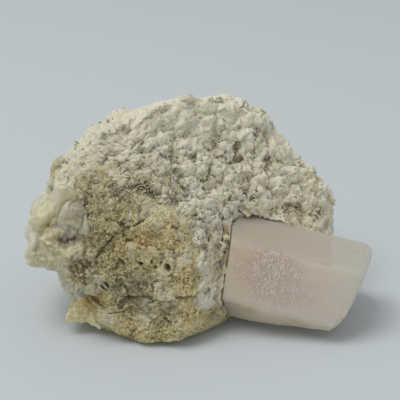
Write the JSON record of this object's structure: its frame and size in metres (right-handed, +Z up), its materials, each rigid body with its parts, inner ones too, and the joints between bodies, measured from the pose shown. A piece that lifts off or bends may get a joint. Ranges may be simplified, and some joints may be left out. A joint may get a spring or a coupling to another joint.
{
  "type": "morganite crystal on albite matrix",
  "caption": "Pale pink hexagonal beryl crystal lying in a rounded lump of bladed white albite and tan rock with glassy quartz; rests on a flat base for display.",
  "frame": {"origin": "centre of the specimen's box on the surface it rests on", "axes": "+X to the right, towards the beryl's free end, along the longest extent; +Y to the back; +Z up"},
  "size_m": [0.132, 0.0902, 0.0835],
  "materials": {
    "stained_albite_rock": "granular broken rock, matt, with rust and olive stains",
    "bladed_albite": "thin overlapping blades, waxy to pearly, with brown in the gaps",
    "morganite": "clear pale pink beryl, natural faces, lightly etched",
    "milky_quartz": "cloudy, glassy on its broken faces",
    "stained_quartz": "cloudy, with yellow iron stain"
  },
  "bodies": {
    "root": {"albite_matrix": "stained_albite_rock", "cleavelandite_crust": "bladed_albite", "morganite_crystal": "morganite", "quartz_mass": "milky_quartz", "quartz_knob": "stained_quartz", "quartz_point": "milky_quartz"}
  },
  "joints": []
}
